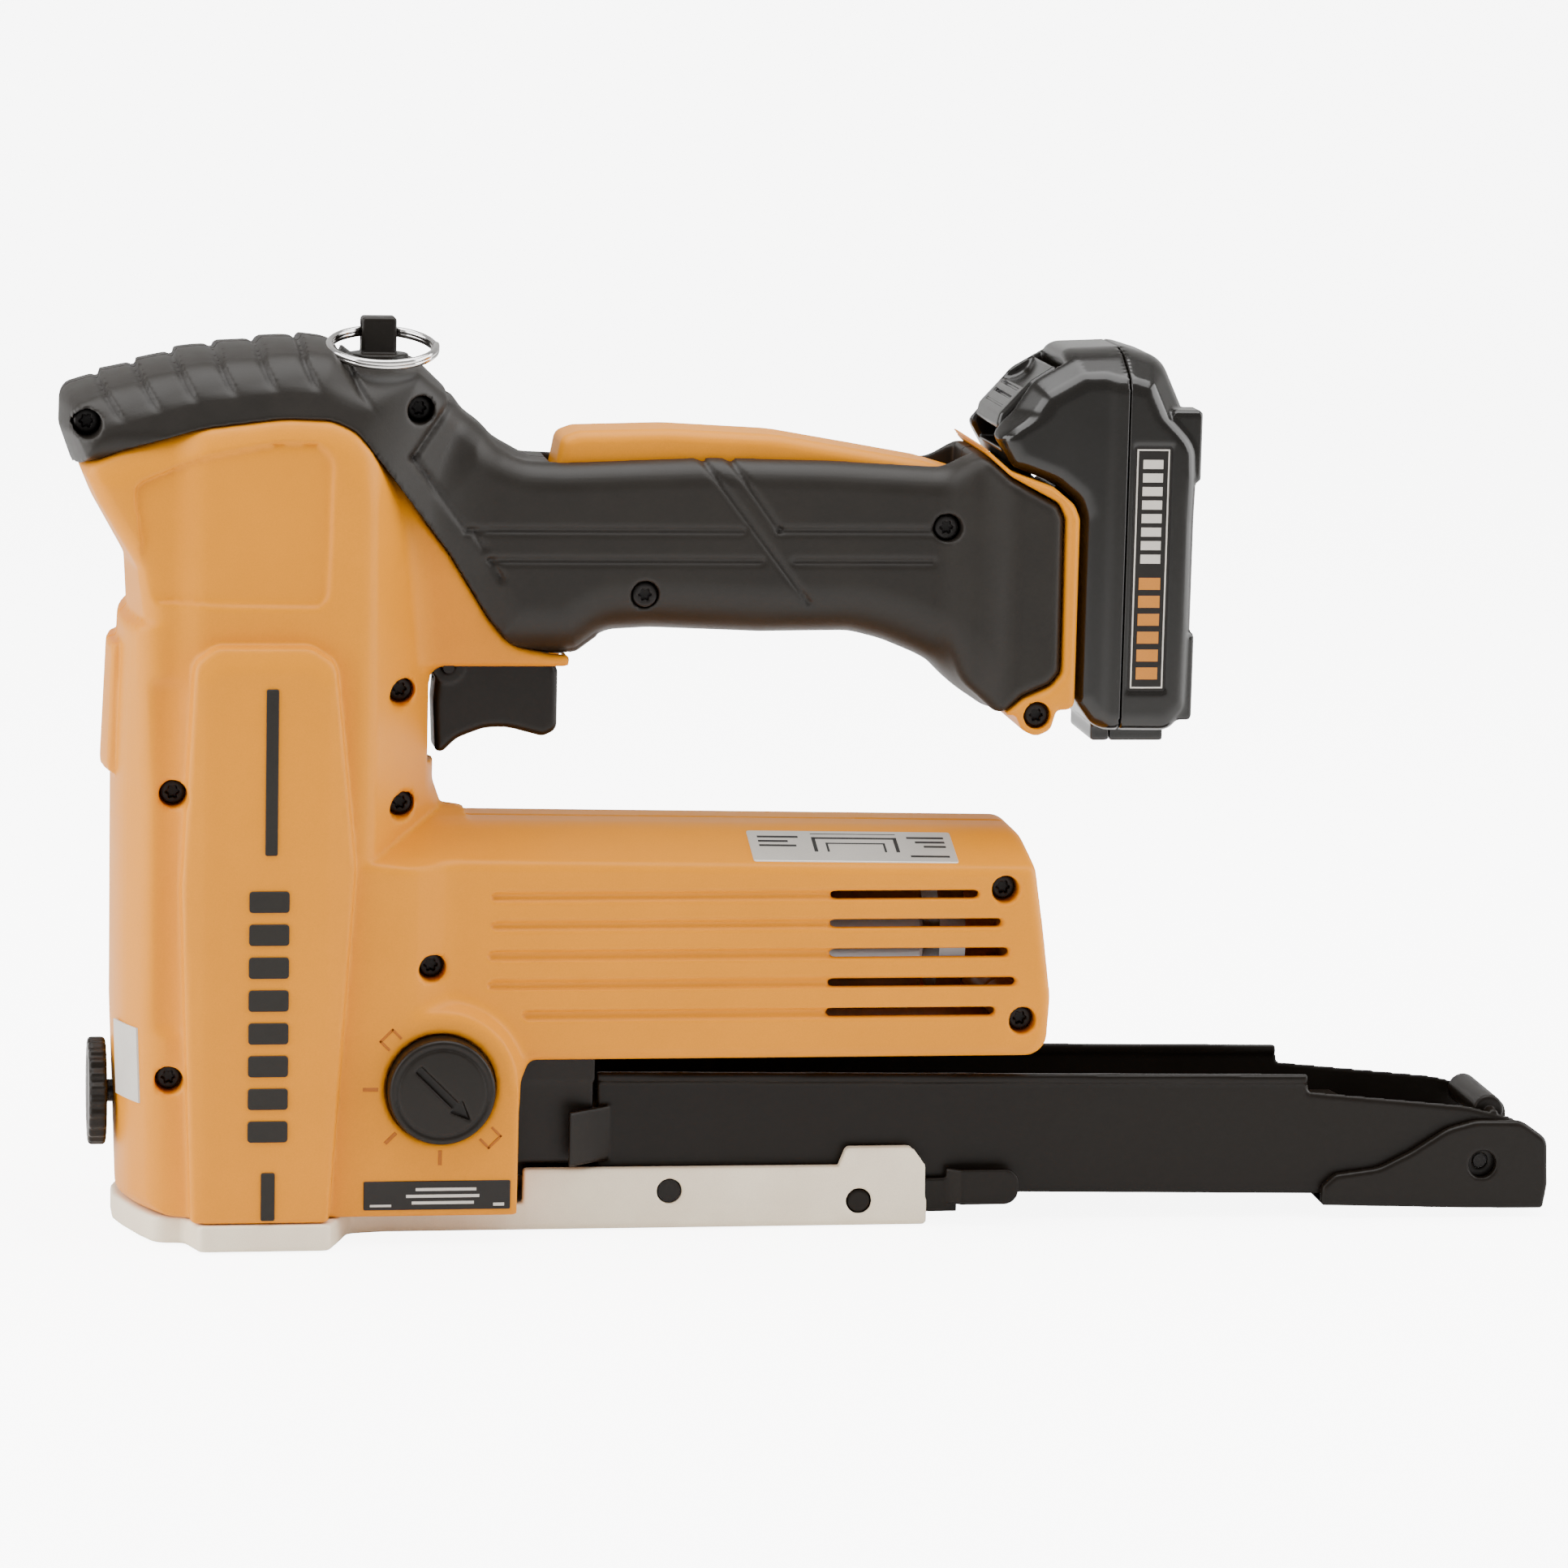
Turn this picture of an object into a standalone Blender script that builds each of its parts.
"""Cordless carton-closing stapler: wide-crown staples, bottom magazine, slide-on battery.

Frame: +X from the nose to the battery and magazine tail, +Z up, the sole on Z = 0, Y = 0 on the
parting plane.  Lengths below are millimetres measured from the drive line, the vertical line the
staple is driven along.  World X = 0 is the middle of the whole tool, so the drive line stands at
DRIVE_X.
"""
import math

import bmesh
import bpy
from mathutils import Matrix, Vector

MM = 0.001
DRIVE_X = -150.5            # drive line, from the middle of the tool
GAP = 0.3                   # clearance between pieces that touch

# half-widths of the body across Y
FOOT_HALF = 44.0
PILLAR_HALF = 43.5
HEAD_HALF = 38.0
BODY_HALF = 33.0
CAP_HALF = 31.0
COLLAR_HALF = 28.0
HANDLE_HALF = 19.0
WALL = 3.0

# base and magazine
PLATE_TOP = 7.2
RAIL_HALF = 24.0
RAIL_END = 180.0
CHANNEL_HALF = 19.8
CHANNEL_WALL = 1.2
CORE_HALF = 16.3
CROWN = 35.0                # staple crown width

# pivots, as (x, z)
TRIGGER_PIVOT = (50.5, 149.5)
PALM_PIVOT = (184.0, 198.6)
SELECTOR = (47.3, 41.9)
SELECTOR_R = 14.0
FRONT_DIAL_Z = 34.0
FRONT_DIAL_R = 14.4
LATCH_PIVOT = (161.6, 6.8)
GUIDE_PIN = (110.3, 10.1)
DRUM = (334.0, 14.8)
RING_HANG = (31.8, 237.6)
CRANK_Z = 76.0
CRANK_THROW = 14.0
CLINCH_PIVOT_Y, CLINCH_PIVOT_Z = 31.0, 26.0

YELLOW = (0.68, 0.32, 0.045)
BLACK = (0.035, 0.028, 0.022)
STEEL_BLACK = (0.02, 0.018, 0.016)
GLOSS_BLACK = (0.012, 0.011, 0.010)
CAST = (0.62, 0.60, 0.57)
STEEL = (0.55, 0.55, 0.56)


# ---------------------------------------------------------------- scene and helpers

def clear_scene():
    for old in list(bpy.data.objects):
        bpy.data.objects.remove(old, do_unlink=True)


def collection(name):
    made = bpy.data.collections.new(name)
    bpy.context.scene.collection.children.link(made)
    return made


clear_scene()
PARTS = collection("carton_stapler")
CUTTERS = collection("cutters")


def material(name, colour, roughness, metallic=0.0):
    made = bpy.data.materials.new(name)
    made.use_nodes = True
    shader = made.node_tree.nodes["Principled BSDF"]
    shader.inputs["Base Color"].default_value = (*colour, 1.0)
    shader.inputs["Roughness"].default_value = roughness
    shader.inputs["Metallic"].default_value = metallic
    return made


def point(x, y, z):
    return Vector(((x + DRIVE_X) * MM, y * MM, z * MM))


def add(name, mesh, cutter=False):
    made = bpy.data.objects.new(name, mesh)
    (CUTTERS if cutter else PARTS).objects.link(made)
    if cutter:
        made.hide_render = True
        made.display_type = "WIRE"
    return made


def paint(thing, colour, roughness, metallic=0.0):
    thing.data.materials.clear()
    thing.data.materials.append(material(thing.name, colour, roughness, metallic))
    thing.data.shade_smooth()
    thing.data.set_sharp_from_angle(angle=math.radians(35))
    return thing


def set_origin(thing, x, y, z):
    """Put the origin of a moving piece on its joint axis; the shape stays where it is."""
    pivot = point(x, y, z)
    thing.data.transform(Matrix.Translation(-pivot))
    thing.location = pivot
    return thing


def rounded(corners, step=math.radians(30)):
    """Outline from (x, z) or (x, z, fillet radius) corners, each fillet an arc."""
    outline = []
    count = len(corners)
    for index, corner in enumerate(corners):
        here = Vector(corner[:2])
        radius = corner[2] if len(corner) > 2 else 0.0
        before = (Vector(corners[index - 1][:2]) - here)
        after = (Vector(corners[(index + 1) % count][:2]) - here)
        turn = before.angle(after)
        if radius <= 0.0 or turn > math.radians(174):
            outline.append(here)
            continue
        reach = min(radius / math.tan(turn / 2), before.length * 0.49, after.length * 0.49)
        radius = reach * math.tan(turn / 2)
        start = here + before.normalized() * reach
        end = here + after.normalized() * reach
        centre = here + (before.normalized() + after.normalized()).normalized() * (
            radius / math.sin(turn / 2))
        sweep = math.pi - turn
        pieces = max(1, round(sweep / step))
        spoke = start - centre
        side = 1.0 if spoke.x * (end - centre).y - spoke.y * (end - centre).x > 0 else -1.0
        for number in range(pieces + 1):
            angle = side * sweep * number / pieces
            turned = Matrix.Rotation(angle, 2) @ spoke
            outline.append(centre + turned)
    return outline


def plate(name, corners, y0, y1, cutter=False, flat="XZ"):
    """Flat outline in XZ, XY or YZ, with thickness from y0 to y1, z0 to z1 or x0 to x1."""
    curve = bpy.data.curves.new(name, "CURVE")
    curve.dimensions = "2D"
    curve.fill_mode = "BOTH"
    curve.extrude = abs(y1 - y0) * MM / 2
    curve.render_resolution_u = 0
    outline = rounded(corners)
    spline = curve.splines.new("POLY")
    spline.points.add(len(outline) - 1)
    for spot, corner in zip(spline.points, outline):
        across = corner.x if flat == "YZ" else corner.x + DRIVE_X
        spot.co = (across * MM, corner.y * MM, 0.0, 1.0)
    spline.use_cyclic_u = True
    guide = bpy.data.objects.new(name + "_outline", curve)
    CUTTERS.objects.link(guide)
    middle = (y0 + y1) / 2 * MM
    if flat == "XZ":
        guide.matrix_world = Matrix.Translation((0, middle, 0)) @ Matrix.Rotation(math.pi / 2, 4, "X")
    elif flat == "XY":
        guide.matrix_world = Matrix.Translation((0, 0, middle))
    else:
        turn = Matrix.Rotation(math.pi / 2, 4, "Z") @ Matrix.Rotation(math.pi / 2, 4, "X")
        guide.matrix_world = Matrix.Translation((middle + DRIVE_X * MM, 0, 0)) @ turn
    bpy.context.view_layer.update()
    seen = guide.evaluated_get(bpy.context.evaluated_depsgraph_get())
    mesh = bpy.data.meshes.new_from_object(seen)
    mesh.transform(guide.matrix_world)
    bpy.data.objects.remove(guide, do_unlink=True)
    weld(mesh)
    return add(name, mesh, cutter)


def weld(mesh):
    work = bmesh.new()
    work.from_mesh(mesh)
    bmesh.ops.remove_doubles(work, verts=work.verts, dist=1e-6)
    bmesh.ops.recalc_face_normals(work, faces=work.faces)
    work.to_mesh(mesh)
    work.free()


def box(name, x, y, z, cutter=False, edge=0.0):
    """Box from (low, high) pairs on each axis."""
    mesh = bpy.data.meshes.new(name)
    work = bmesh.new()
    bmesh.ops.create_cube(work, size=1.0)
    size = Vector((x[1] - x[0], y[1] - y[0], z[1] - z[0])) * MM
    bmesh.ops.scale(work, vec=size, verts=work.verts)
    centre = point((x[0] + x[1]) / 2, (y[0] + y[1]) / 2, (z[0] + z[1]) / 2)
    bmesh.ops.translate(work, vec=centre, verts=work.verts)
    work.to_mesh(mesh)
    work.free()
    made = add(name, mesh, cutter)
    if edge:
        bevel = made.modifiers.new("broken_edges", "BEVEL")
        bevel.width = edge * MM
        bevel.segments = 2
    return made


def rod(name, start, end, radius, cutter=False, sides=20, end_radius=None, edge=0.0):
    """Round bar between two points, given as (x, y, z)."""
    a, b = point(*start), point(*end)
    mesh = bpy.data.meshes.new(name)
    work = bmesh.new()
    far = radius if end_radius is None else end_radius
    bmesh.ops.create_cone(work, cap_ends=True, segments=sides, radius1=radius * MM,
                          radius2=far * MM, depth=(b - a).length)
    turn = (b - a).to_track_quat("Z", "Y").to_matrix().to_4x4()
    bmesh.ops.transform(work, matrix=Matrix.Translation((a + b) / 2) @ turn, verts=work.verts)
    work.to_mesh(mesh)
    work.free()
    made = add(name, mesh, cutter)
    if edge:
        bevel = made.modifiers.new("broken_edges", "BEVEL")
        bevel.width = edge * MM
        bevel.segments = 2
        bevel.limit_method = "ANGLE"
        bevel.angle_limit = math.radians(50)
    return made


def boolean(target, tool, operation):
    step = target.modifiers.new(tool.name, "BOOLEAN")
    step.object = tool
    step.operation = operation
    step.solver = "EXACT"
    return target


def cut(target, *tools):
    for tool in tools:
        boolean(target, tool, "DIFFERENCE")
    return target


def join(target, *tools):
    for tool in tools:
        boolean(target, tool, "UNION")
    return target


def wire(name, route, radius):
    """Round wire along world points; the welded mesh replaces its guide curve."""
    curve = bpy.data.curves.new(name, "CURVE")
    curve.dimensions = "3D"
    curve.bevel_depth = radius * MM
    curve.bevel_resolution = 2
    curve.use_fill_caps = True
    curve.render_resolution_u = 0
    spline = curve.splines.new("POLY")
    spline.points.add(len(route) - 1)
    for spot, place in zip(spline.points, route):
        spot.co = (*place, 1.0)
    guide = bpy.data.objects.new(name + "_route", curve)
    CUTTERS.objects.link(guide)
    bpy.context.view_layer.update()
    seen = guide.evaluated_get(bpy.context.evaluated_depsgraph_get())
    mesh = bpy.data.meshes.new_from_object(seen)
    bpy.data.objects.remove(guide, do_unlink=True)
    weld(mesh)
    return add(name, mesh)


def coil(name, base, axis, length, turns, coil_radius, wire_radius, per_turn=10):
    """Compression spring from a base point (x, y, z) along a unit axis."""
    along = Vector(axis).normalized()
    across = along.orthogonal().normalized()
    other = along.cross(across)
    route = []
    total = turns * per_turn
    for number in range(total + 1):
        angle = math.tau * number / per_turn
        spoke = across * math.cos(angle) + other * math.sin(angle)
        rise = along * (wire_radius + (length - 2 * wire_radius) * number / total)
        route.append(point(*base) + (spoke * coil_radius + rise) * MM)
    return wire(name, route, wire_radius)


# ---------------------------------------------------------------- outlines (x, z, fillet)

HOUSING_OUTLINE = [
    (-37.6, 12.0), (-38.1, 163.0, 2), (-35.1, 165.0), (-35.6, 178.4, 12), (-43.7, 195.4, 12),
    (-46.0, 205.4), (-36.5, 209.9, 20), (-15.8, 215.2, 30), (5.0, 217.7, 20), (17.5, 217.3, 12),
    (23.8, 214.3, 10), (30.2, 206.0, 10), (49.5, 180.7, 20), (60.3, 164.7, 14), (66.8, 157.9, 10),
    (77.5, 156.6, 2), (79.4, 155.4, 1), (77.6, 152.8, 1), (49.0, 152.8, 6), (45.3, 147.0, 6),
    (45.0, 118.0, 8), (49.3, 112.4, 3), (55.8, 111.2), (199.0, 106.8, 3), (205.0, 104.0, 6),
    (208.4, 82.0, 20), (210.8, 64.0, 8), (210.0, 47.8, 6), (71.5, 47.8, 4), (68.7, 43.0, 4),
    (68.0, 5.0), (-35.4, 5.0)]

PILLAR_OUTLINE = [
    (-18.0, 3.0), (-20.9, 96.0, 6), (-18.0, 155.0, 5), (-12.5, 159.3, 5), (12.0, 159.3, 5),
    (18.6, 155.0, 5), (24.2, 101.0, 6), (17.6, 3.0)]

BROW_OUTLINE = [
    (-33.6, 170.0, 6), (-36.0, 199.0, 6), (-16.0, 207.8, 14), (5.0, 211.9, 10), (17.4, 210.6, 6),
    (16.5, 172.0, 6), (13.0, 169.4, 5)]

CAP_OUTLINE = [
    (-45.9, 205.9, 1), (-51.6, 215.9, 2), (-51.4, 222.6, 4), (-41.5, 226.2, 10),
    (-18.3, 233.1, 20), (8.0, 236.4, 20), (19.0, 236.0, 8), (26.3, 230.4, 6), (41.2, 230.6, 5),
    (50.8, 221.4, 8), (60.9, 208.0, 14), (68.0, 203.2, 8), (75.0, 178.0, 4), (84.0, 156.4, 2),
    (77.5, 157.0, 2), (67.0, 158.4, 10), (60.7, 165.1, 14), (49.9, 181.1, 20), (30.6, 206.4, 10),
    (24.1, 214.7, 10), (17.6, 217.7, 12), (5.0, 218.1, 20), (-15.9, 215.6, 30), (-36.6, 210.3, 20)]

HANDLE_OUTLINE = [
    (52.0, 196.0, 4), (56.0, 213.0, 4), (60.9, 208.0, 14), (69.6, 203.1, 14), (80.0, 202.3, 20),
    (118.3, 204.0, 30), (150.0, 203.4, 30), (185.1, 202.7, 10), (190.4, 202.9, 4),
    (190.4, 145.0, 4), (175.5, 152.9, 20), (166.5, 156.6, 20), (157.7, 158.8, 16), (133.5, 158.5),
    (104.0, 159.6, 20), (92.0, 158.9, 10), (84.0, 153.4, 4), (81.2, 157.4, 1), (66.0, 168.0, 4)]

COLLAR_OUTLINE = [
    (188.0, 206.6, 4), (191.0, 207.6, 3), (197.0, 202.2, 4), (209.8, 195.4, 3), (211.5, 191.7, 2),
    (211.7, 150.6, 3), (209.0, 147.3, 4), (201.4, 144.0, 4), (196.0, 138.5, 3), (188.0, 146.2, 8)]

RIM_OUTLINE = [
    (188.0, 212.2, 1), (197.4, 203.9, 3), (208.6, 200.0, 6), (214.2, 195.4, 4), (215.8, 191.7, 3),
    (215.8, 141.8, 4), (211.0, 134.8, 3), (207.7, 132.2, 4), (203.4, 134.8, 3), (198.0, 138.0, 2),
    (201.6, 143.6, 4), (209.2, 146.9, 4), (212.1, 150.4, 3), (211.9, 191.8, 2),
    (210.0, 195.8, 3), (197.2, 202.6, 4), (191.4, 207.8, 2)]

BATTERY_OUTLINE = [
    (216.4, 141.2), (221.2, 136.2, 3), (243.4, 135.2, 3), (248.2, 140.0, 3), (248.2, 163.0),
    (247.4, 191.0, 2), (248.9, 200.6, 3), (247.8, 219.0, 8), (239.6, 233.0, 8), (229.6, 236.0, 6),
    (214.5, 235.4, 6), (202.5, 228.5, 10),
    (194.6, 217.6, 4), (193.6, 213.6, 1), (200.4, 208.0, 3), (212.6, 204.2, 2), (216.4, 201.0, 3)]

PADDLE_OUTLINE = [
    (77.4, 199.0, 1), (79.6, 210.6, 3), (84.0, 212.2, 4), (108.0, 212.9, 30), (136.7, 211.5, 30),
    (160.0, 207.6, 30), (176.3, 204.8, 8), (187.4, 201.6, 2), (187.4, 195.6, 2), (176.0, 194.6, 4),
    (140.0, 197.6, 10), (100.0, 197.6, 10)]

TRIGGER_OUTLINE = [
    (48.0, 152.0, 2), (60.0, 152.0, 1), (78.6, 151.6, 1), (80.0, 148.0, 2), (80.0, 132.0, 3),
    (76.2, 130.3, 3), (66.3, 132.9, 14), (60.5, 132.6, 10), (53.4, 129.9, 8), (49.6, 126.2, 2),
    (47.6, 126.4, 2), (47.0, 140.0, 2)]

TAIL_OUTLINE = [
    (289.4, 3.4, 1), (289.4, 8.6, 2), (293.0, 12.0, 3), (305.2, 13.6, 10), (314.1, 18.1, 12),
    (324.0, 24.4, 12), (332.0, 26.5, 8), (344.8, 26.3, 7), (352.0, 21.2, 4), (352.6, 8.5, 2),
    (351.6, 1.8, 1), (330.0, 2.1)]

SOLE_OUTLINE = [
    (-37.0, 5.0, 3), (-35.2, 12.0, 8), (-31.0, 24.0, 10), (-27.0, 32.6, 5), (-19.6, 33.4, 2),
    (-15.9, FOOT_HALF, 2.5), (18.0, FOOT_HALF, 2.5), (21.0, 36.0, 4), (24.4, 26.0, 3), (34.0, 24.2, 4),
    (RAIL_END, RAIL_HALF, 1)]

# shoulders cut from the motor housing's roof and from the cap, as (|y|, z)
ROOF_CUT = [(1.5, 108.4), (34.0, 101.3), (34.0, 116.0), (1.5, 116.0)]
CROWN_CUT = [(2.0, 236.4), (34.0, 222.0), (34.0, 245.0), (2.0, 245.0)]

# this one only holds the gearbox flange, inside the left wall
SHORT_SCREW = (45.0, 73.4)
# screw places (x, z), each driven from the left
HOUSING_SCREWS = [(197.6, 93.2), (203.2, 57.6), (45.0, 73.4), (37.2, 144.5), (37.6, 114.3),
                  (-22.9, 119.8), (-23.5, 44.1)]
GRIP_SCREWS = [(101.4, 170.0), (181.6, 188.2), (-45.2, 215.6), (40.9, 219.2)]
RIM_SCREW = (207.7, 137.4)

HEAD_SEAT = {"housing": 27.0, "grip_wide": 25.0, "grip_handle": 15.0}
SCREW_BORE, SCREW_HEAD, SCREW_SHANK = 3.8, 3.3, 1.6
SCREW_WAY = SCREW_SHANK + 0.3


# ---------------------------------------------------------------- shells

def screw_hole(target, tag, side, x, z, seat):
    """On the left the head's bore and the shank's way; on the right a hole that stops inside."""
    if side < 0:
        cut(target, rod(tag + "_bore", (x, -seat, z), (x, -60, z), SCREW_BORE, cutter=True, sides=16))
        cut(target, rod(tag + "_way", (x, 6, z), (x, -seat - 1, z), SCREW_WAY, cutter=True, sides=8))
    else:
        cut(target, rod(tag + "_thread", (x, -6, z), (x, 12, z), SCREW_WAY, cutter=True, sides=8))


def screw_boss(target, tag, side, x, z, radius, inner, outer):
    join(target, rod(tag + "_boss", (x, side * inner, z), (x, side * (outer - 1.5), z), radius,
                     cutter=True, sides=12))


def both_sides(side, low, high):
    return (low, high) if side > 0 else (-high, -low)


def parting(name, side):
    """Everything beyond the parting plane, with half the gap."""
    return box(name + "_parting", (-80, 260), both_sides(-side, -GAP / 2, 70), (-20, 280), cutter=True)


def housing_half(name, side):
    """Head and motor housing moulding on one side of the parting plane."""
    def span(low, high):
        return both_sides(side, low, high)

    shell = plate(name, HOUSING_OUTLINE, side * -3.0, side * BODY_HALF)
    pillar = plate(name + "_pillar", PILLAR_OUTLINE, side * 20.0, side * PILLAR_HALF, cutter=True)
    brow = plate(name + "_brow", BROW_OUTLINE, side * 20.0, side * HEAD_HALF, cutter=True)
    join(shell, pillar, brow)
    # hollows: head, pillar, motor bay, magazine way
    hollows = [
        plate(name + "_head_bay", [(-33.0, 48.0, 3), (-33.0, 160.0, 3), (-31.0, 182.0, 6), (-39.0, 200.0, 4),
                                   (-15.0, 210.0, 6), (14.0, 212.0, 8), (44.0, 180.0, 8), (55.0, 160.0, 4),
                                   (40.0, 154.0, 3), (40.0, 48.0, 3)], side * -6, side * 29.5, cutter=True),
        box(name + "_pillar_bay", (-14, 15), span(29, PILLAR_HALF - WALL), (20, 150), cutter=True),
        box(name + "_motor_bay", (39, 204), span(-6, 29.5), (52, 98.5), cutter=True),
        box(name + "_roof_bay", (45, 202), span(-7, 19.0), (90, 102), cutter=True),
        box(name + "_magazine_way", (-8, 90), span(-5, 22.4), (-2, 49.0), cutter=True),
        box(name + "_clincher_bay", (-8, 8), span(20, 40.5), (-2, 49), cutter=True),
        box(name + "_grip_way", (20, 64), span(-6, 26), (166, 215), cutter=True),
        box(name + "_trigger_way", (43, 82), span(-6, 8.4), (124, 160), cutter=True)]
    cut(shell, *hollows)
    cut(shell,
        plate(name + "_roof", [(side * y, z) for y, z in ROOF_CUT], 57.0, 215.0, cutter=True, flat="YZ"),
        box(name + "_cam_bay", (36, 62), span(20, 29.5), (31, 50), cutter=True),
        box(name + "_switch_way", (50, 81), span(-6, 6.5), (150, 180), cutter=True))
    for number, (x, z) in enumerate(HOUSING_SCREWS, 1):
        tag = "%s_%d" % (name, number)
        screw_boss(shell, tag, side, x, z, 5.3, 22.6 if (x, z) == SHORT_SCREW else -1.0, BODY_HALF)
        screw_hole(shell, tag, side, x, z, HEAD_SEAT["housing"])
    # cooling slots at the motor's end
    for number, (z, start, end) in enumerate(
            [(92.0, 151.8, 189.6), (84.3, 151.8, 196.0), (76.3, 151.8, 198.0), (68.3, 151.5, 200.0),
             (60.3, 151.2, 195.0)]):
        cut(shell, box("%s_slot_%d" % (name, number), (start, end), span(28, 36),
                       (z - 1.1, z + 1.1), cutter=True))
    # front dial's shaft hole and its seat
    cut(shell, rod(name + "_dial_hole", (-45, 0, FRONT_DIAL_Z), (-20, 0, FRONT_DIAL_Z), 3.4, cutter=True))
    cut(shell, parting(name, side),
        box(name + "_foot_line", (-60, 90), span(-10, 60), (-5, 7.5), cutter=True))
    if side < 0:
        cut(shell, rod("selector_hole", (SELECTOR[0], -40, SELECTOR[1]),
                       (SELECTOR[0], -10, SELECTOR[1]), 6.3, cutter=True, sides=24))
    return paint(shell, YELLOW, 0.42)


def grip_half(name, side):
    """Black overmoulded cap, handle and battery collar on one side."""
    def span(low, high):
        return both_sides(side, low, high)

    shell = plate(name, CAP_OUTLINE, side * -3.0, side * CAP_HALF)
    handle = plate(name + "_handle", HANDLE_OUTLINE, side * -4.0, side * HANDLE_HALF, cutter=True)
    collar = plate(name + "_collar", COLLAR_OUTLINE, side * -5.0, side * COLLAR_HALF, cutter=True)
    join(shell, handle, collar)
    cut(shell,
        plate(name + "_handle_bay", [(60.0, 178.0, 4), (70.0, 193.0, 4), (182.0, 192.0, 4),
                                     (182.0, 160.0, 4), (158.0, 164.0), (90.0, 165.0, 6)],
              side * -6, side * 14.5, cutter=True),
        box(name + "_paddle_way", (76.6, 188.4), span(-6, 11.6), (188, 230), cutter=True),
        box(name + "_docking_way", (203.4, 214), span(-6, 15), (148, 215), cutter=True),
        box(name + "_terminal_way", (192, 204), span(-6, 12.4), (158, 188), cutter=True),
        plate(name + "_crown", [(side * y, z) for y, z in CROWN_CUT], -60.0, 60.0, cutter=True, flat="YZ"),
        box(name + "_switch_way", (50, 81), span(-6, 6.5), (150, 180), cutter=True),
        box(name + "_trigger_way", (43, 82), span(-7, 8.4), (124, 158.5), cutter=True),
        rod(name + "_palm_pin_way", (PALM_PIVOT[0], side * -6, PALM_PIVOT[1]),
            (PALM_PIVOT[0], side * 15.3, PALM_PIVOT[1]), 1.8, cutter=True, sides=14),
        rod(name + "_lug_way", (31.8, 0, 222), (31.8, 0, 240), 3.3, cutter=True))
    if side < 0:
        join(shell, box("palm_spring_seat", (86.0, 98.0), (-16.0, 5.0), (180.0, 183.0), cutter=True))
    for number, (x, z) in enumerate(GRIP_SCREWS, 1):
        # the cap is solid at its two screws; the hollow handle has bosses
        tag, in_handle = "%s_%d" % (name, number), number <= 2
        if in_handle:
            screw_boss(shell, tag, side, x, z, 5.0, -1.5, HANDLE_HALF)
        screw_hole(shell, tag, side, x, z, HEAD_SEAT["grip_handle" if in_handle else "grip_wide"])
    cut(shell, parting(name, side))
    return paint(shell, BLACK, 0.5)


def screw(name, x, z, seat, tip=10.0):
    head = rod(name, (x, -seat + GAP, z), (x, -seat - 2.4, z), SCREW_HEAD, sides=18)
    cut(head, rod(name + "_drive", (x, -seat - 1.2, z), (x, -seat - 5, z), 1.6, cutter=True, sides=6))
    join(head, rod(name + "_shank", (x, tip, z), (x, -seat - 1, z), SCREW_SHANK, cutter=True, sides=8))
    # the head stands off its seat by the clearance
    head.location.y -= 2 * GAP * MM
    return paint(head, STEEL_BLACK, 0.4, 0.8)


def seat_screws():
    for number, (x, z) in enumerate(HOUSING_SCREWS, 1):
        tip = -23.0 if (x, z) == SHORT_SCREW else 10.0
        screw("housing_screw_%d" % number, x, z, HEAD_SEAT["housing"], tip)
    for number, (x, z) in enumerate(GRIP_SCREWS, 1):
        screw("grip_screw_%d" % number, x, z, HEAD_SEAT["grip_wide" if number > 2 else "grip_handle"])
    screw("rim_screw", *RIM_SCREW, 23.0, tip=-14.0)


# ---------------------------------------------------------------- base and magazine

def base_casting():
    sole = SOLE_OUTLINE + [(x, -y, *rest) for x, y, *rest in reversed(SOLE_OUTLINE)]
    base = plate("base_casting", sole, 0.0, PLATE_TOP, flat="XY")
    for side in (-1, 1):
        wall = plate("rail_wall_%d" % side, [(71.0, 1.0), (71.0, 16.5, 0.8), (156.0, 16.3), (158.0, 21.4, 1.5),
                                             (176.0, 21.4, 3), (179.6, 16.3, 1), (RAIL_END, 1.0)],
                     side * 20.5, side * RAIL_HALF, cutter=True)
        join(base, wall)
        cut(base, box("latch_way_%d" % side, (155.0, 190.0), both_sides(side, 20.0, 23.0),
                      (2.4, 15.4), cutter=True))
        for number, (x, z) in enumerate([GUIDE_PIN, LATCH_PIVOT], 1):
            cut(base, rod("pin_hole_%d_%d" % (side, number), (x, side * 19, z), (x, side * 30, z), 3.4,
                          cutter=True))
        cut(base, box("clincher_slot_%d" % side, (-3.4, 3.4), both_sides(side, 21.0, 39.0), (-2, 10),
                      cutter=True))
    cut(base, box("staple_slot", (-1.4, 1.6), (-(CROWN / 2 + 0.8), CROWN / 2 + 0.8), (-2, 10), cutter=True),
        box("rail_floor_relief", (30, 190), (-20.5, 20.5), (5.6, 30), cutter=True),
        box("latch_bar_way", (176, 190), (-23.0, 23.0), (2.4, 30), cutter=True))
    paint(base, CAST, 0.45, 0.9)
    for side, word in ((-1, "left"), (1, "right")):
        pin = rod("guide_pin_" + word, (GUIDE_PIN[0], side * 20.6, GUIDE_PIN[1]),
                  (GUIDE_PIN[0], side * 23.2, GUIDE_PIN[1]), 3.05, sides=20)
        paint(pin, STEEL_BLACK, 0.4, 0.8)


def channel_top(x):
    return 43.1 - 0.0139 * x


def channel_floor(x):
    return 11.2 - 0.0185 * x


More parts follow.
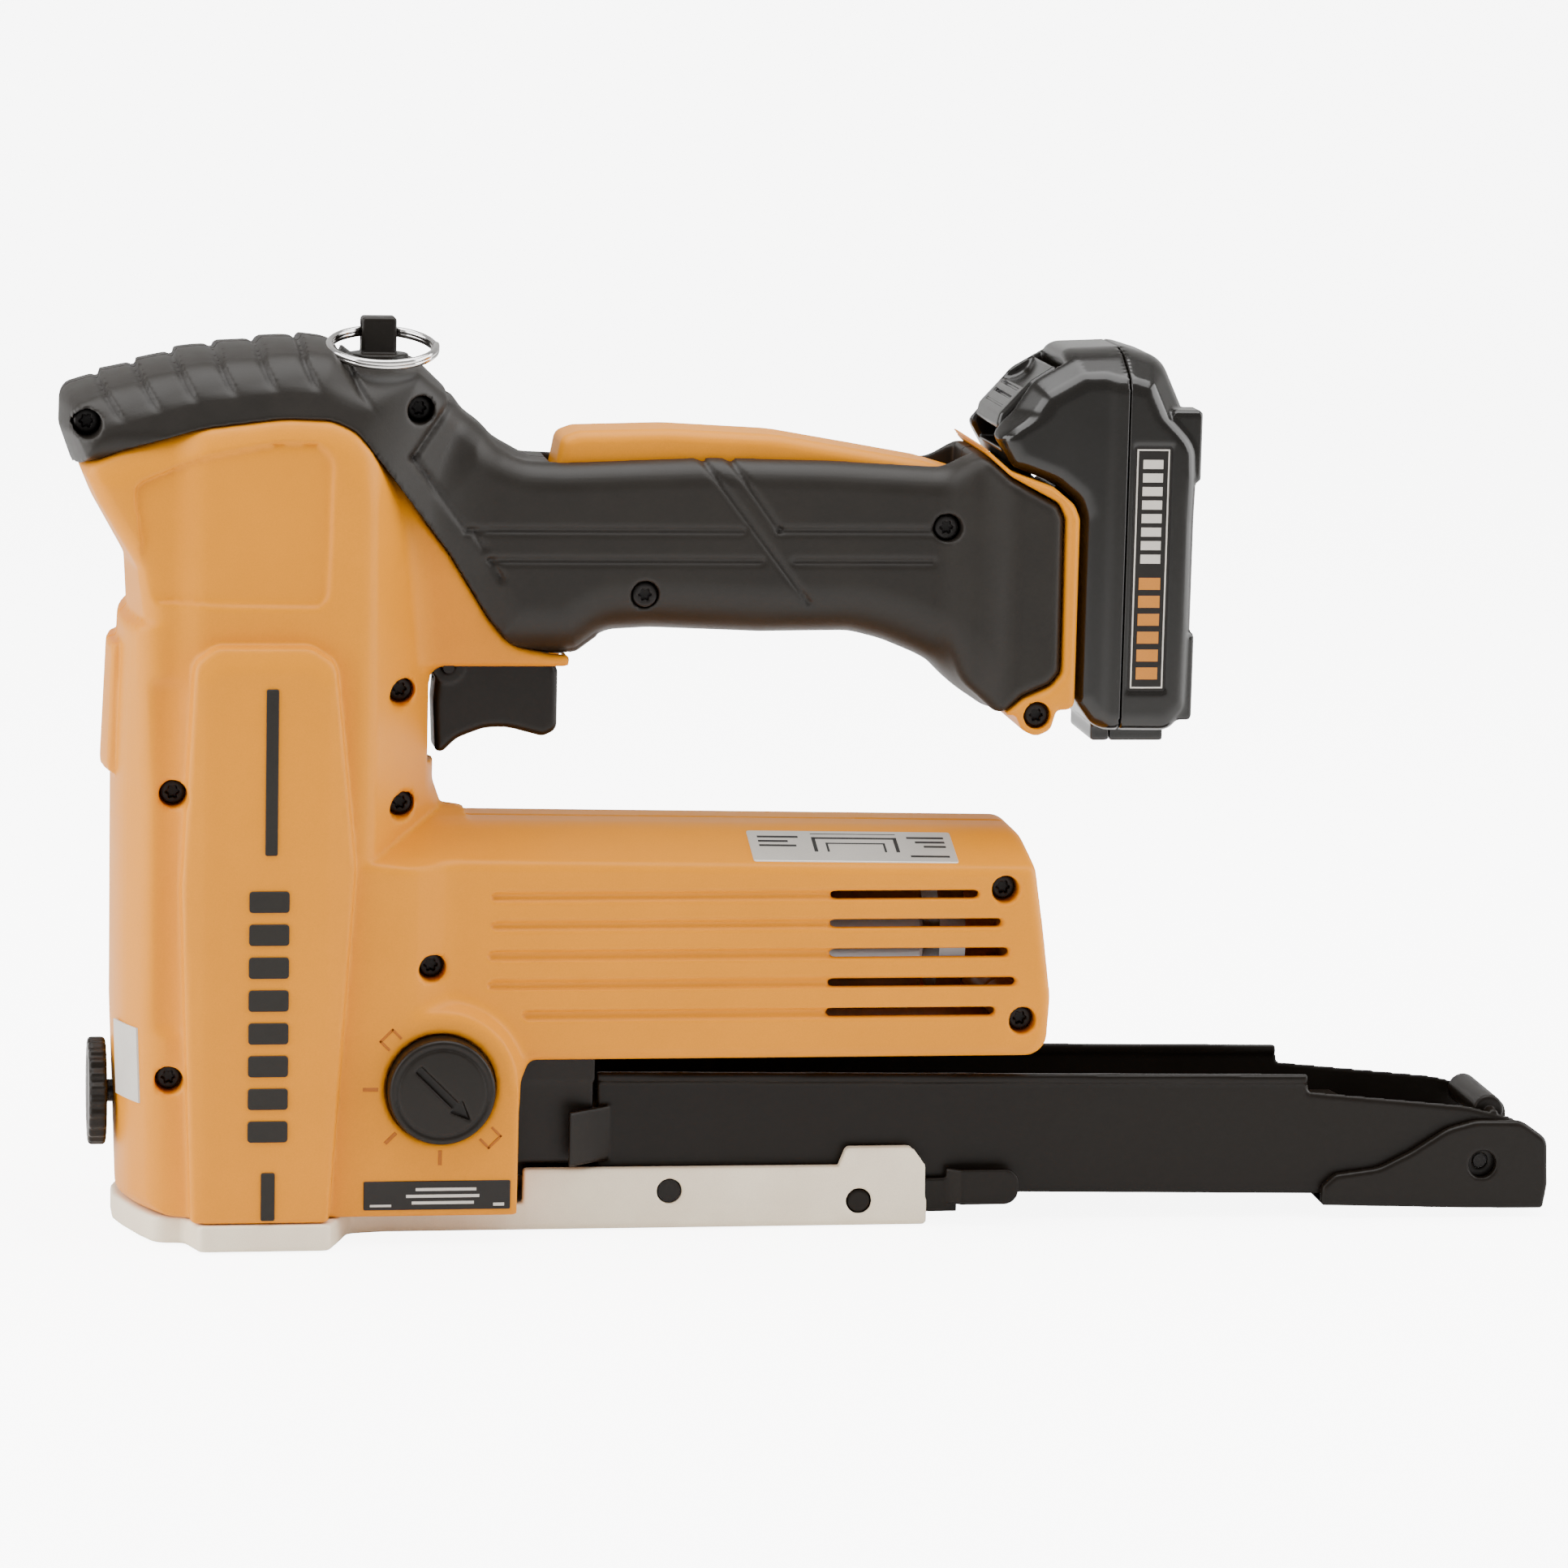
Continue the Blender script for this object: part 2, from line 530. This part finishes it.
def magazine():
    front, lip_end, tail = 90.6, 285.0, 350.0
    side_view = [(front, channel_floor(front)), (front, channel_top(front)),
                 (lip_end, channel_top(lip_end)), (lip_end + 0.6, 34.6), (330.0, 30.2, 20),
                 (344.0, 26.6, 10), (tail, 20.0, 3), (tail, channel_floor(tail))]
    channel = plate("magazine_channel", side_view, -CHANNEL_HALF, CHANNEL_HALF)
    inside = [(front - 5, channel_floor(front) + CHANNEL_WALL), (front - 5, 60.0), (tail + 5, 60.0),
              (tail + 5, channel_floor(tail) + CHANNEL_WALL)]
    half = CHANNEL_HALF - CHANNEL_WALL
    cut(channel, plate("magazine_inside", inside, -half, half, cutter=True))
    for side in (-1, 1):
        tab = plate("lead_in_%d" % side, [(82.6, side * 28.0), (94.0, side * (CHANNEL_HALF - 0.4)),
                                          (94.0, side * (CHANNEL_HALF - 1.1)), (83.0, side * 26.6)],
                    18.0, 33.0, cutter=True, flat="XY")
        join(channel, tab)
        cut(channel, rod("axle_hole_%d" % side, (DRUM[0], side * 18, DRUM[1]),
                         (DRUM[0], side * 22, DRUM[1]), 2.1, cutter=True, sides=16))
    paint(channel, STEEL_BLACK, 0.35, 0.6)

    core_view = [(3.0, 13.5), (3.0, 30.6), (300.0, 27.0), (306.0, 24.0, 2), (306.0, 12.5)]
    core = plate("staple_rail", core_view, -CORE_HALF, CORE_HALF)
    cut(core, plate("rail_inside", [(-5.0, 0.0), (-5.0, 29.2), (310.0, 25.5), (310.0, 0.0)],
                    -CORE_HALF + CHANNEL_WALL, CORE_HALF - CHANNEL_WALL, cutter=True))
    join(core, plate("rail_foot", [(100.0, 12.6), (100.0, 15.4), (302.0, 15.4), (302.0, 9.2)],
                     -CORE_HALF + 0.6, CORE_HALF - 0.6, cutter=True))
    paint(core, STEEL_BLACK, 0.35, 0.6)

    tail_bracket()
    axle = rod("drum_axle", (DRUM[0], -19.7, DRUM[1]), (DRUM[0], 19.7, DRUM[1]), 1.8, sides=16)
    paint(axle, STEEL, 0.3, 1.0)
    drum = rod("spring_drum", (DRUM[0], -9.0, DRUM[1]), (DRUM[0], 9.0, DRUM[1]), 7.2, sides=28)
    join(drum, *[rod("drum_flange_%d" % side, (DRUM[0], side * 8.4, DRUM[1]), (DRUM[0], side * 10.0, DRUM[1]),
                     8.2, cutter=True, sides=28) for side in (-1, 1)])
    cut(drum, rod("drum_bore", (DRUM[0], -12, DRUM[1]), (DRUM[0], 12, DRUM[1]), 2.5, cutter=True, sides=16))
    set_origin(paint(drum, STEEL, 0.3, 1.0), DRUM[0], 0, DRUM[1])


def tail_bracket():
    """U-shaped sheet round the magazine's tail; its two plates carry the drum axle."""
    bracket = plate("tail_bracket", TAIL_OUTLINE, -23.0, 23.0)
    cut(bracket, box("bracket_inside", (280, 360), (-20.1, 20.1), (4.4, 40), cutter=True))
    cut(bracket, rod("bracket_hole", (334.0, -30, 14.4), (334.0, 30, 14.4), 3.8, cutter=True, sides=24))
    paint(bracket, STEEL_BLACK, 0.35, 0.6)


def pusher():
    """Saddle that rides on the staple rail and pushes the strip to the drive line."""
    saddle = box("staple_pusher", (14.0, 44.0), (-18.2, 18.2), (14.2, 35.4), edge=0.6)
    cut(saddle, box("saddle_inside", (10, 50), (-CORE_HALF - 0.4, CORE_HALF + 0.4), (0, 31.2), cutter=True))
    join(saddle, box("pusher_grip", (36.0, 42.0), (-7, 7), (34, 37.2), cutter=True))
    paint(saddle, STEEL, 0.35, 0.9)


def front_block():
    block = box("magazine_block", (24.0, 90.0), (-19.0, 19.0), (38.6, 44.4), edge=1.2)
    for side in (-1, 1):
        join(block, box("block_ear_%d" % side, (24.0, 37.6), both_sides(side, 18, 22.0), (38.6, 44.4),
                        cutter=True))
    paint(block, BLACK, 0.45)


def magazine_latch():
    """U-shaped lever: two arms on the latch pins, thumb tabs outside, a bar under the channel."""
    bar = box("magazine_latch", (181.5, 184.8), (-21.8, 21.8), (3.5, 4.9))
    for side in (-1, 1):
        arm = plate("latch_arm_%d" % side, [(158.0, 3.2, 2), (157.0, 9.0, 3), (162.0, 12.0, 3),
                                            (188.6, 12.6, 1), (188.6, 3.2)],
                    side * 21.0, side * 22.6, cutter=True)
        tab = plate("latch_tab_%d" % side, [(185.6, side * 21.4), (190.0, side * 24.1), (205.0, side * 24.1),
                                            (205.0, side * 25.5), (189.4, side * 25.5),
                                            (185.2, side * 22.3)], 5.6, 15.2, cutter=True, flat="XY")
        join(bar, arm, tab)
        join(bar, rod("latch_pin_%d" % side, (LATCH_PIVOT[0], side * 21.8, LATCH_PIVOT[1]),
                      (LATCH_PIVOT[0], side * 23.7, LATCH_PIVOT[1]), 3.05, cutter=True))
        cut(bar, rod("tab_corner_%d" % side, (206.0, side * 20, 16.5), (206.0, side * 30, 16.5), 2.6,
                     cutter=True, sides=16))
    set_origin(paint(bar, STEEL_BLACK, 0.35, 0.6), LATCH_PIVOT[0], 0, LATCH_PIVOT[1])


# ---------------------------------------------------------------- controls

def trigger():
    blade = plate("trigger", TRIGGER_OUTLINE, -7.6, 7.6)
    x, z = TRIGGER_PIVOT
    join(blade, rod("trigger_hub", (x, -7.6, z), (x, 7.6, z), 4.4, cutter=True))
    cut(blade, rod("trigger_bore", (x, -10, z), (x, 10, z), 1.75, cutter=True, sides=16),
        box("trigger_spring_way", (x - 6, x + 14), (-2.4, 2.4), (z - 4.5, 170), cutter=True))
    set_origin(paint(blade, BLACK, 0.4), x, 0, z)
    pin = rod("trigger_pin", (x, -11.5, z), (x, 11.5, z), 1.5, sides=16)
    paint(pin, STEEL, 0.3, 1.0)
    spring_route = []
    for step in range(25):
        angle = math.tau * step / 10
        spring_route.append(point(x + 2.6 * math.cos(angle), -1.5 + 3.0 * step / 24,
                                  z + 2.6 * math.sin(angle)))
    paint(wire("trigger_spring", spring_route, 0.35), STEEL, 0.3, 1.0)
    switch = box("trigger_switch", (56.0, 76.0), (-5, 5), (160.0, 176.0), edge=0.8)
    join(switch, box("switch_plunger", (64, 68), (-2.4, 2.4), (154.9, 161), cutter=True))
    paint(switch, GLOSS_BLACK, 0.4)


def palm_lever():
    lever = plate("palm_lever", PADDLE_OUTLINE, -11.0, 11.0)
    x, z = PALM_PIVOT
    cut(lever, rod("palm_bore", (x, -20, z), (x, 20, z), 1.75, cutter=True, sides=16),
        box("palm_hollow", (82.0, 172.0), (-9.0, 9.0), (190.0, 206.0), cutter=True))
    cut(lever, box("palm_hollow_front", (82.0, 140.0), (-9.0, 9.0), (200.0, 210.2), cutter=True))
    set_origin(paint(lever, YELLOW, 0.42), x, 0, z)
    paint(rod("palm_pin", (x, -14.5, z), (x, 14.5, z), 1.5, sides=16), STEEL, 0.3, 1.0)
    spring = coil("palm_spring", (92.0, 0, 183.4), (0, 0, 1), 26.0, 5, 3.4, 0.5, per_turn=8)
    paint(spring, STEEL, 0.3, 1.0)


def selector():
    """Push-to-turn dial on the left: a keyed bush slides in, the dial and its cam shaft turn."""
    x, z = SELECTOR
    knob = rod("selector_dial", (x, -36.2, z), (x, -43.6, z), SELECTOR_R, sides=40,
               end_radius=SELECTOR_R - 0.8, edge=1.0)
    join(knob, rod("cam_shaft", (x, -23.6, z), (x, -39, z), 3.0, cutter=True, sides=20),
         plate("cam_lobe", [(x - 5, z - 3.5, 1.5), (x + 8, z - 3.5, 3), (x + 8, z + 3.5, 3),
                            (x - 5, z + 3.5, 1.5)], -25.6, -23.4, cutter=True))
    angle = math.radians(-45)
    reach = Vector((math.cos(angle), math.sin(angle)))
    across = Vector((-reach.y, reach.x))
    arrow = [Vector(SELECTOR) + reach * along + across * wide for along, wide in
             ((-9, -0.8), (5, -0.8), (5, -2.6), (10.5, 0), (5, 2.6), (5, 0.8), (-9, 0.8))]
    cut(knob, plate("pointer", [tuple(corner) for corner in arrow], -42.8, -46, cutter=True))
    set_origin(paint(knob, BLACK, 0.4), x, 0, z)
    bush = rod("selector_bush", (x, -26.2, z), (x, -34.2, z), 5.6, sides=28)
    cut(bush, rod("bush_bore", (x, -20, z), (x, -40, z), 3.4, cutter=True))
    paint(bush, STEEL, 0.35, 0.9)


def front_dial():
    z = FRONT_DIAL_Z
    dial = rod("depth_dial", (-38.6, 0, z), (-43.4, 0, z), FRONT_DIAL_R, sides=36, edge=1.4)
    join(dial, rod("depth_screw", (-39.0, 0, z), (-24.0, 0, z), 3.0, cutter=True))
    set_origin(paint(dial, BLACK, 0.4), -41, 0, FRONT_DIAL_Z)


def hanger():
    """Swivel lug on the cap with a split key ring through it."""
    x, z = RING_HANG
    lug = box("hanger_lug", (x - 3.6, x + 3.6), (-3.4, 3.4), (231.2, 241.3), edge=0.8)
    join(lug, rod("lug_stem", (x, 0, 222.8), (x, 0, 232), 2.8, cutter=True, sides=16))
    cut(lug, rod("lug_eye", (x - 6, 0, z), (x + 6, 0, z), 2.4, cutter=True, sides=20))
    paint(lug, BLACK, 0.45)
    ring_radius, wire_radius, lean = 13.9, 0.8, math.radians(14)
    centre = Vector((x, -ring_radius * math.cos(lean), z - ring_radius * math.sin(lean)))
    down = Vector((0, -math.cos(lean), -math.sin(lean)))
    along = Vector((1, 0, 0))
    normal = along.cross(down)
    route = []
    turns, per_turn = 2, 22
    for step in range(turns * per_turn + 1):
        angle = math.tau * step / per_turn
        lift = normal * (1.7 * step / (turns * per_turn) - 0.85)
        spot = centre + along * ring_radius * math.cos(angle) + down * ring_radius * math.sin(angle) + lift
        route.append(point(*spot))
    ring = wire("split_ring", route, wire_radius)
    set_origin(paint(ring, STEEL, 0.15, 1.0), x, 0, z)


def trims():
    face = -PILLAR_HALF - 0.1
    strips = [("stripe_upper", 0.4, 3.6, 105.3, 148.8), ("stripe_lower", 0.0, 3.6, 8.4, 21.2)]
    for name, x0, x1, z0, z1 in strips:
        paint(box(name, (x0, x1), (face - 0.35, face), (z0, z1)), BLACK, 0.5)
    bars = box("badge_bars", (-3.6, 6.8), (face - 0.35, face), (29.4, 33.0))
    paint(bars, BLACK, 0.5)
    notice = box("instruction_plate", (27.6, 65.8), (-BODY_HALF - 0.9, -BODY_HALF - 0.3), (9.8, 17.0))
    paint(notice, BLACK, 0.4)
    slope = (ROOF_CUT[1][1] - ROOF_CUT[0][1]) / (ROOF_CUT[1][0] - ROOF_CUT[0][0])
    low, high = (-30.0, ROOF_CUT[0][1] + slope * 28.5), (-9.0, ROOF_CUT[0][1] + slope * 7.5)
    label = plate("staple_plate", [(low[0], low[1] + 0.3), (high[0], high[1] + 0.3),
                                   (high[0], high[1] + 0.7), (low[0], low[1] + 0.7)],
                  130.0, 185.0, flat="YZ")
    paint(label, (0.6, 0.6, 0.6), 0.4, 0.5)


# ---------------------------------------------------------------- drive train

def drive_train():
    axis = (0, CRANK_Z)
    motor = rod("motor_can", (112.0, *axis), (178.0, *axis), 21.0, sides=32, edge=1.2)
    cut(motor, rod("motor_bore", (108.0, *axis), (186.0, *axis), 3.2, cutter=True, sides=16))
    paint(motor, STEEL, 0.35, 0.9)
    rotor = rod("motor_rotor", (100.0, *axis), (192.0, *axis), 2.4, sides=16)
    fan = rod("fan_disc", (183.0, *axis), (190.0, *axis), 17.0, cutter=True, sides=28)
    pinion = rod("pinion", (98.0, *axis), (104.0, *axis), 5.0, cutter=True, sides=16)
    join(rotor, fan, pinion)
    set_origin(paint(rotor, STEEL, 0.35, 0.9), 100, 0, CRANK_Z)
    gearbox = rod("gearbox_case", (51.0, *axis), (111.0, *axis), 22.0, sides=32, edge=1.5)
    cut(gearbox, rod("gearbox_inside", (54.0, *axis), (108.0, *axis), 19.0, cutter=True, sides=28),
        rod("gearbox_bore", (40.0, *axis), (120.0, *axis), 5.8, cutter=True, sides=20))
    paint(gearbox, CAST, 0.5, 0.8)
    crank = rod("crank_disc", (38.0, *axis), (45.0, *axis), 21.0, sides=32)
    join(crank, rod("crank_shaft", (44.0, *axis), (62.0, *axis), 5.2, cutter=True, sides=16),
         rod("crank_pin", (24.6, 0, CRANK_Z + CRANK_THROW), (39.0, 0, CRANK_Z + CRANK_THROW), 4.0,
             cutter=True, sides=16))
    set_origin(paint(crank, STEEL, 0.35, 0.9), 40, 0, CRANK_Z)
    carriage = box("driver_carriage", (5.0, 36.0), (-23.5, 23.5), (CRANK_Z + 3.0, CRANK_Z + 25.0), edge=1.0)
    cut(carriage, box("yoke_slot", (20.0, 40.0), (-20.0, 20.0), (CRANK_Z + 6.6, CRANK_Z + 21.4),
                      cutter=True))
    paint(carriage, STEEL, 0.4, 0.9)
    blade = box("driver_blade", (-0.7, 0.9), (-CROWN / 2, CROWN / 2), (34.0, CRANK_Z + 24.0))
    join(blade, box("blade_root", (0.6, 4.7), (-12, 12), (CRANK_Z + 8, CRANK_Z + 20), cutter=True))
    paint(blade, STEEL, 0.25, 1.0)
    board = box("control_board", (-24.0, 30.0), (-20.0, 20.0), (176.0, 177.8))
    for number, (x, y, size, tall) in enumerate(((-10, -8, 5, 12), (8, 6, 6, 9), (20, -6, 4, 6))):
        join(board, box("board_part_%d" % number, (x - size, x + size), (y - size, y + size),
                        (177.0, 177.8 + tall), cutter=True))
    paint(board, (0.05, 0.16, 0.07), 0.5)


def clinchers():
    """Curved points that swing through the sole to close the staple legs under the flap."""
    for side, word in ((-1, "left"), (1, "right")):
        y, z = side * CLINCH_PIVOT_Y, CLINCH_PIVOT_Z
        arm = rod("clincher_" + word, (-2.4, y, z), (2.4, y, z), 4.6, sides=20)
        across = both_sides(side, CLINCH_PIVOT_Y - 3, CLINCH_PIVOT_Y + 3)
        hook = box("clincher_hook_" + word, (-2.4, 2.4), across, (2.4, z), cutter=True)
        join(arm, hook)
        join(arm, rod("clincher_pin_" + word, (-7.2, y, z), (7.2, y, z), 2.0, cutter=True, sides=16))
        set_origin(paint(arm, STEEL, 0.3, 1.0), 0, y, z)


# ---------------------------------------------------------------- battery end

def rim():
    """Yellow C-shaped rim round the battery collar."""
    band = plate("battery_rim", RIM_OUTLINE, -28.4, 28.4)
    cut(band, box("rim_docking_way", (200, 220), (-15.3, 15.3), (148, 220), cutter=True),
        rod("rim_bore", (RIM_SCREW[0], -23.0, RIM_SCREW[1]), (RIM_SCREW[0], -40, RIM_SCREW[1]), SCREW_BORE,
            cutter=True, sides=18),
        rod("rim_way", (RIM_SCREW[0], -12.0, RIM_SCREW[1]), (RIM_SCREW[0], -30, RIM_SCREW[1]),
            SCREW_WAY, cutter=True, sides=12))
    paint(band, YELLOW, 0.42)
    block = box("terminal_block", (193.0, 203.0), (-11.6, 11.6), (160.0, 186.0), edge=0.6)
    paint(block, GLOSS_BLACK, 0.4)


def battery():
    split = 228.0
    front = plate("battery_front_shell", BATTERY_OUTLINE, -27.6, 27.6)
    cut(front, box("front_limit", (split - GAP / 2, 260), (-40, 40), (120, 250), cutter=True),
        box("front_hollow", (219.0, 260), (-25.0, 25.0), (145.0, 214.0), cutter=True),
        box("hump_hollow", (212.0, 260), (-22.0, 22.0), (214.5, 231.0), cutter=True),
        box("latch_well", (190.0, 212.6), (-16.4, 16.4), (209.0, 250.0), cutter=True))
    join(front, box("docking_tower", (205.2, 218.0), (-13.8, 13.8), (150.0, 198.0), cutter=True))
    cut(front, box("tower_hollow", (207.5, 225.0), (-11.5, 11.5), (153.0, 195.0), cutter=True))
    paint(front, GLOSS_BLACK, 0.25)
    back = plate("battery_back_shell", BATTERY_OUTLINE, -28.0, 28.0)
    join(back, box("battery_foot", (229.5, 242.6), (-14, 14), (130.2, 138.0), cutter=True))
    cut(back, box("back_limit", (180, split + GAP / 2), (-40, 40), (120, 250), cutter=True),
        box("back_hollow", (200.0, 244.6), (-25.0, 25.0), (145.0, 222.0), cutter=True))
    paint(back, GLOSS_BLACK, 0.25)
    cells = rod("battery_cells", (232.0, 0, 147.0), (232.0, 0, 212.0), 7.9, sides=20)
    for side in (-1, 1):
        join(cells, rod("cell_%d" % side, (232.0, side * 16.4, 147.0), (232.0, side * 16.4, 212.0), 7.9,
                        cutter=True, sides=20))
    join(cells, box("weld_strip", (228.0, 236.0), (-20.0, 20.0), (211.5, 212.4), cutter=True))
    paint(cells, (0.10, 0.25, 0.5), 0.4)
    latch = plate("battery_latch", [(194.6, 214.5, 1), (195.4, 218.2, 2), (203.4, 227.0, 6), (210.6, 231.6, 1),
                                    (210.6, 212.0, 1), (201.0, 212.0, 2)], -16.0, 16.0)
    cut(latch, rod("thumb_recess", (202.5, -14.0, 232.0), (202.5, 14.0, 232.0), 7.4, cutter=True, sides=24))
    paint(latch, GLOSS_BLACK, 0.3)


def build():
    housing_half("housing_left", -1)
    housing_half("housing_right", 1)
    grip_half("grip_left", -1)
    grip_half("grip_right", 1)
    seat_screws()
    base_casting()
    magazine()
    pusher()
    front_block()
    magazine_latch()
    trigger()
    palm_lever()
    selector()
    front_dial()
    hanger()
    trims()
    drive_train()
    clinchers()
    rim()
    battery()


build()
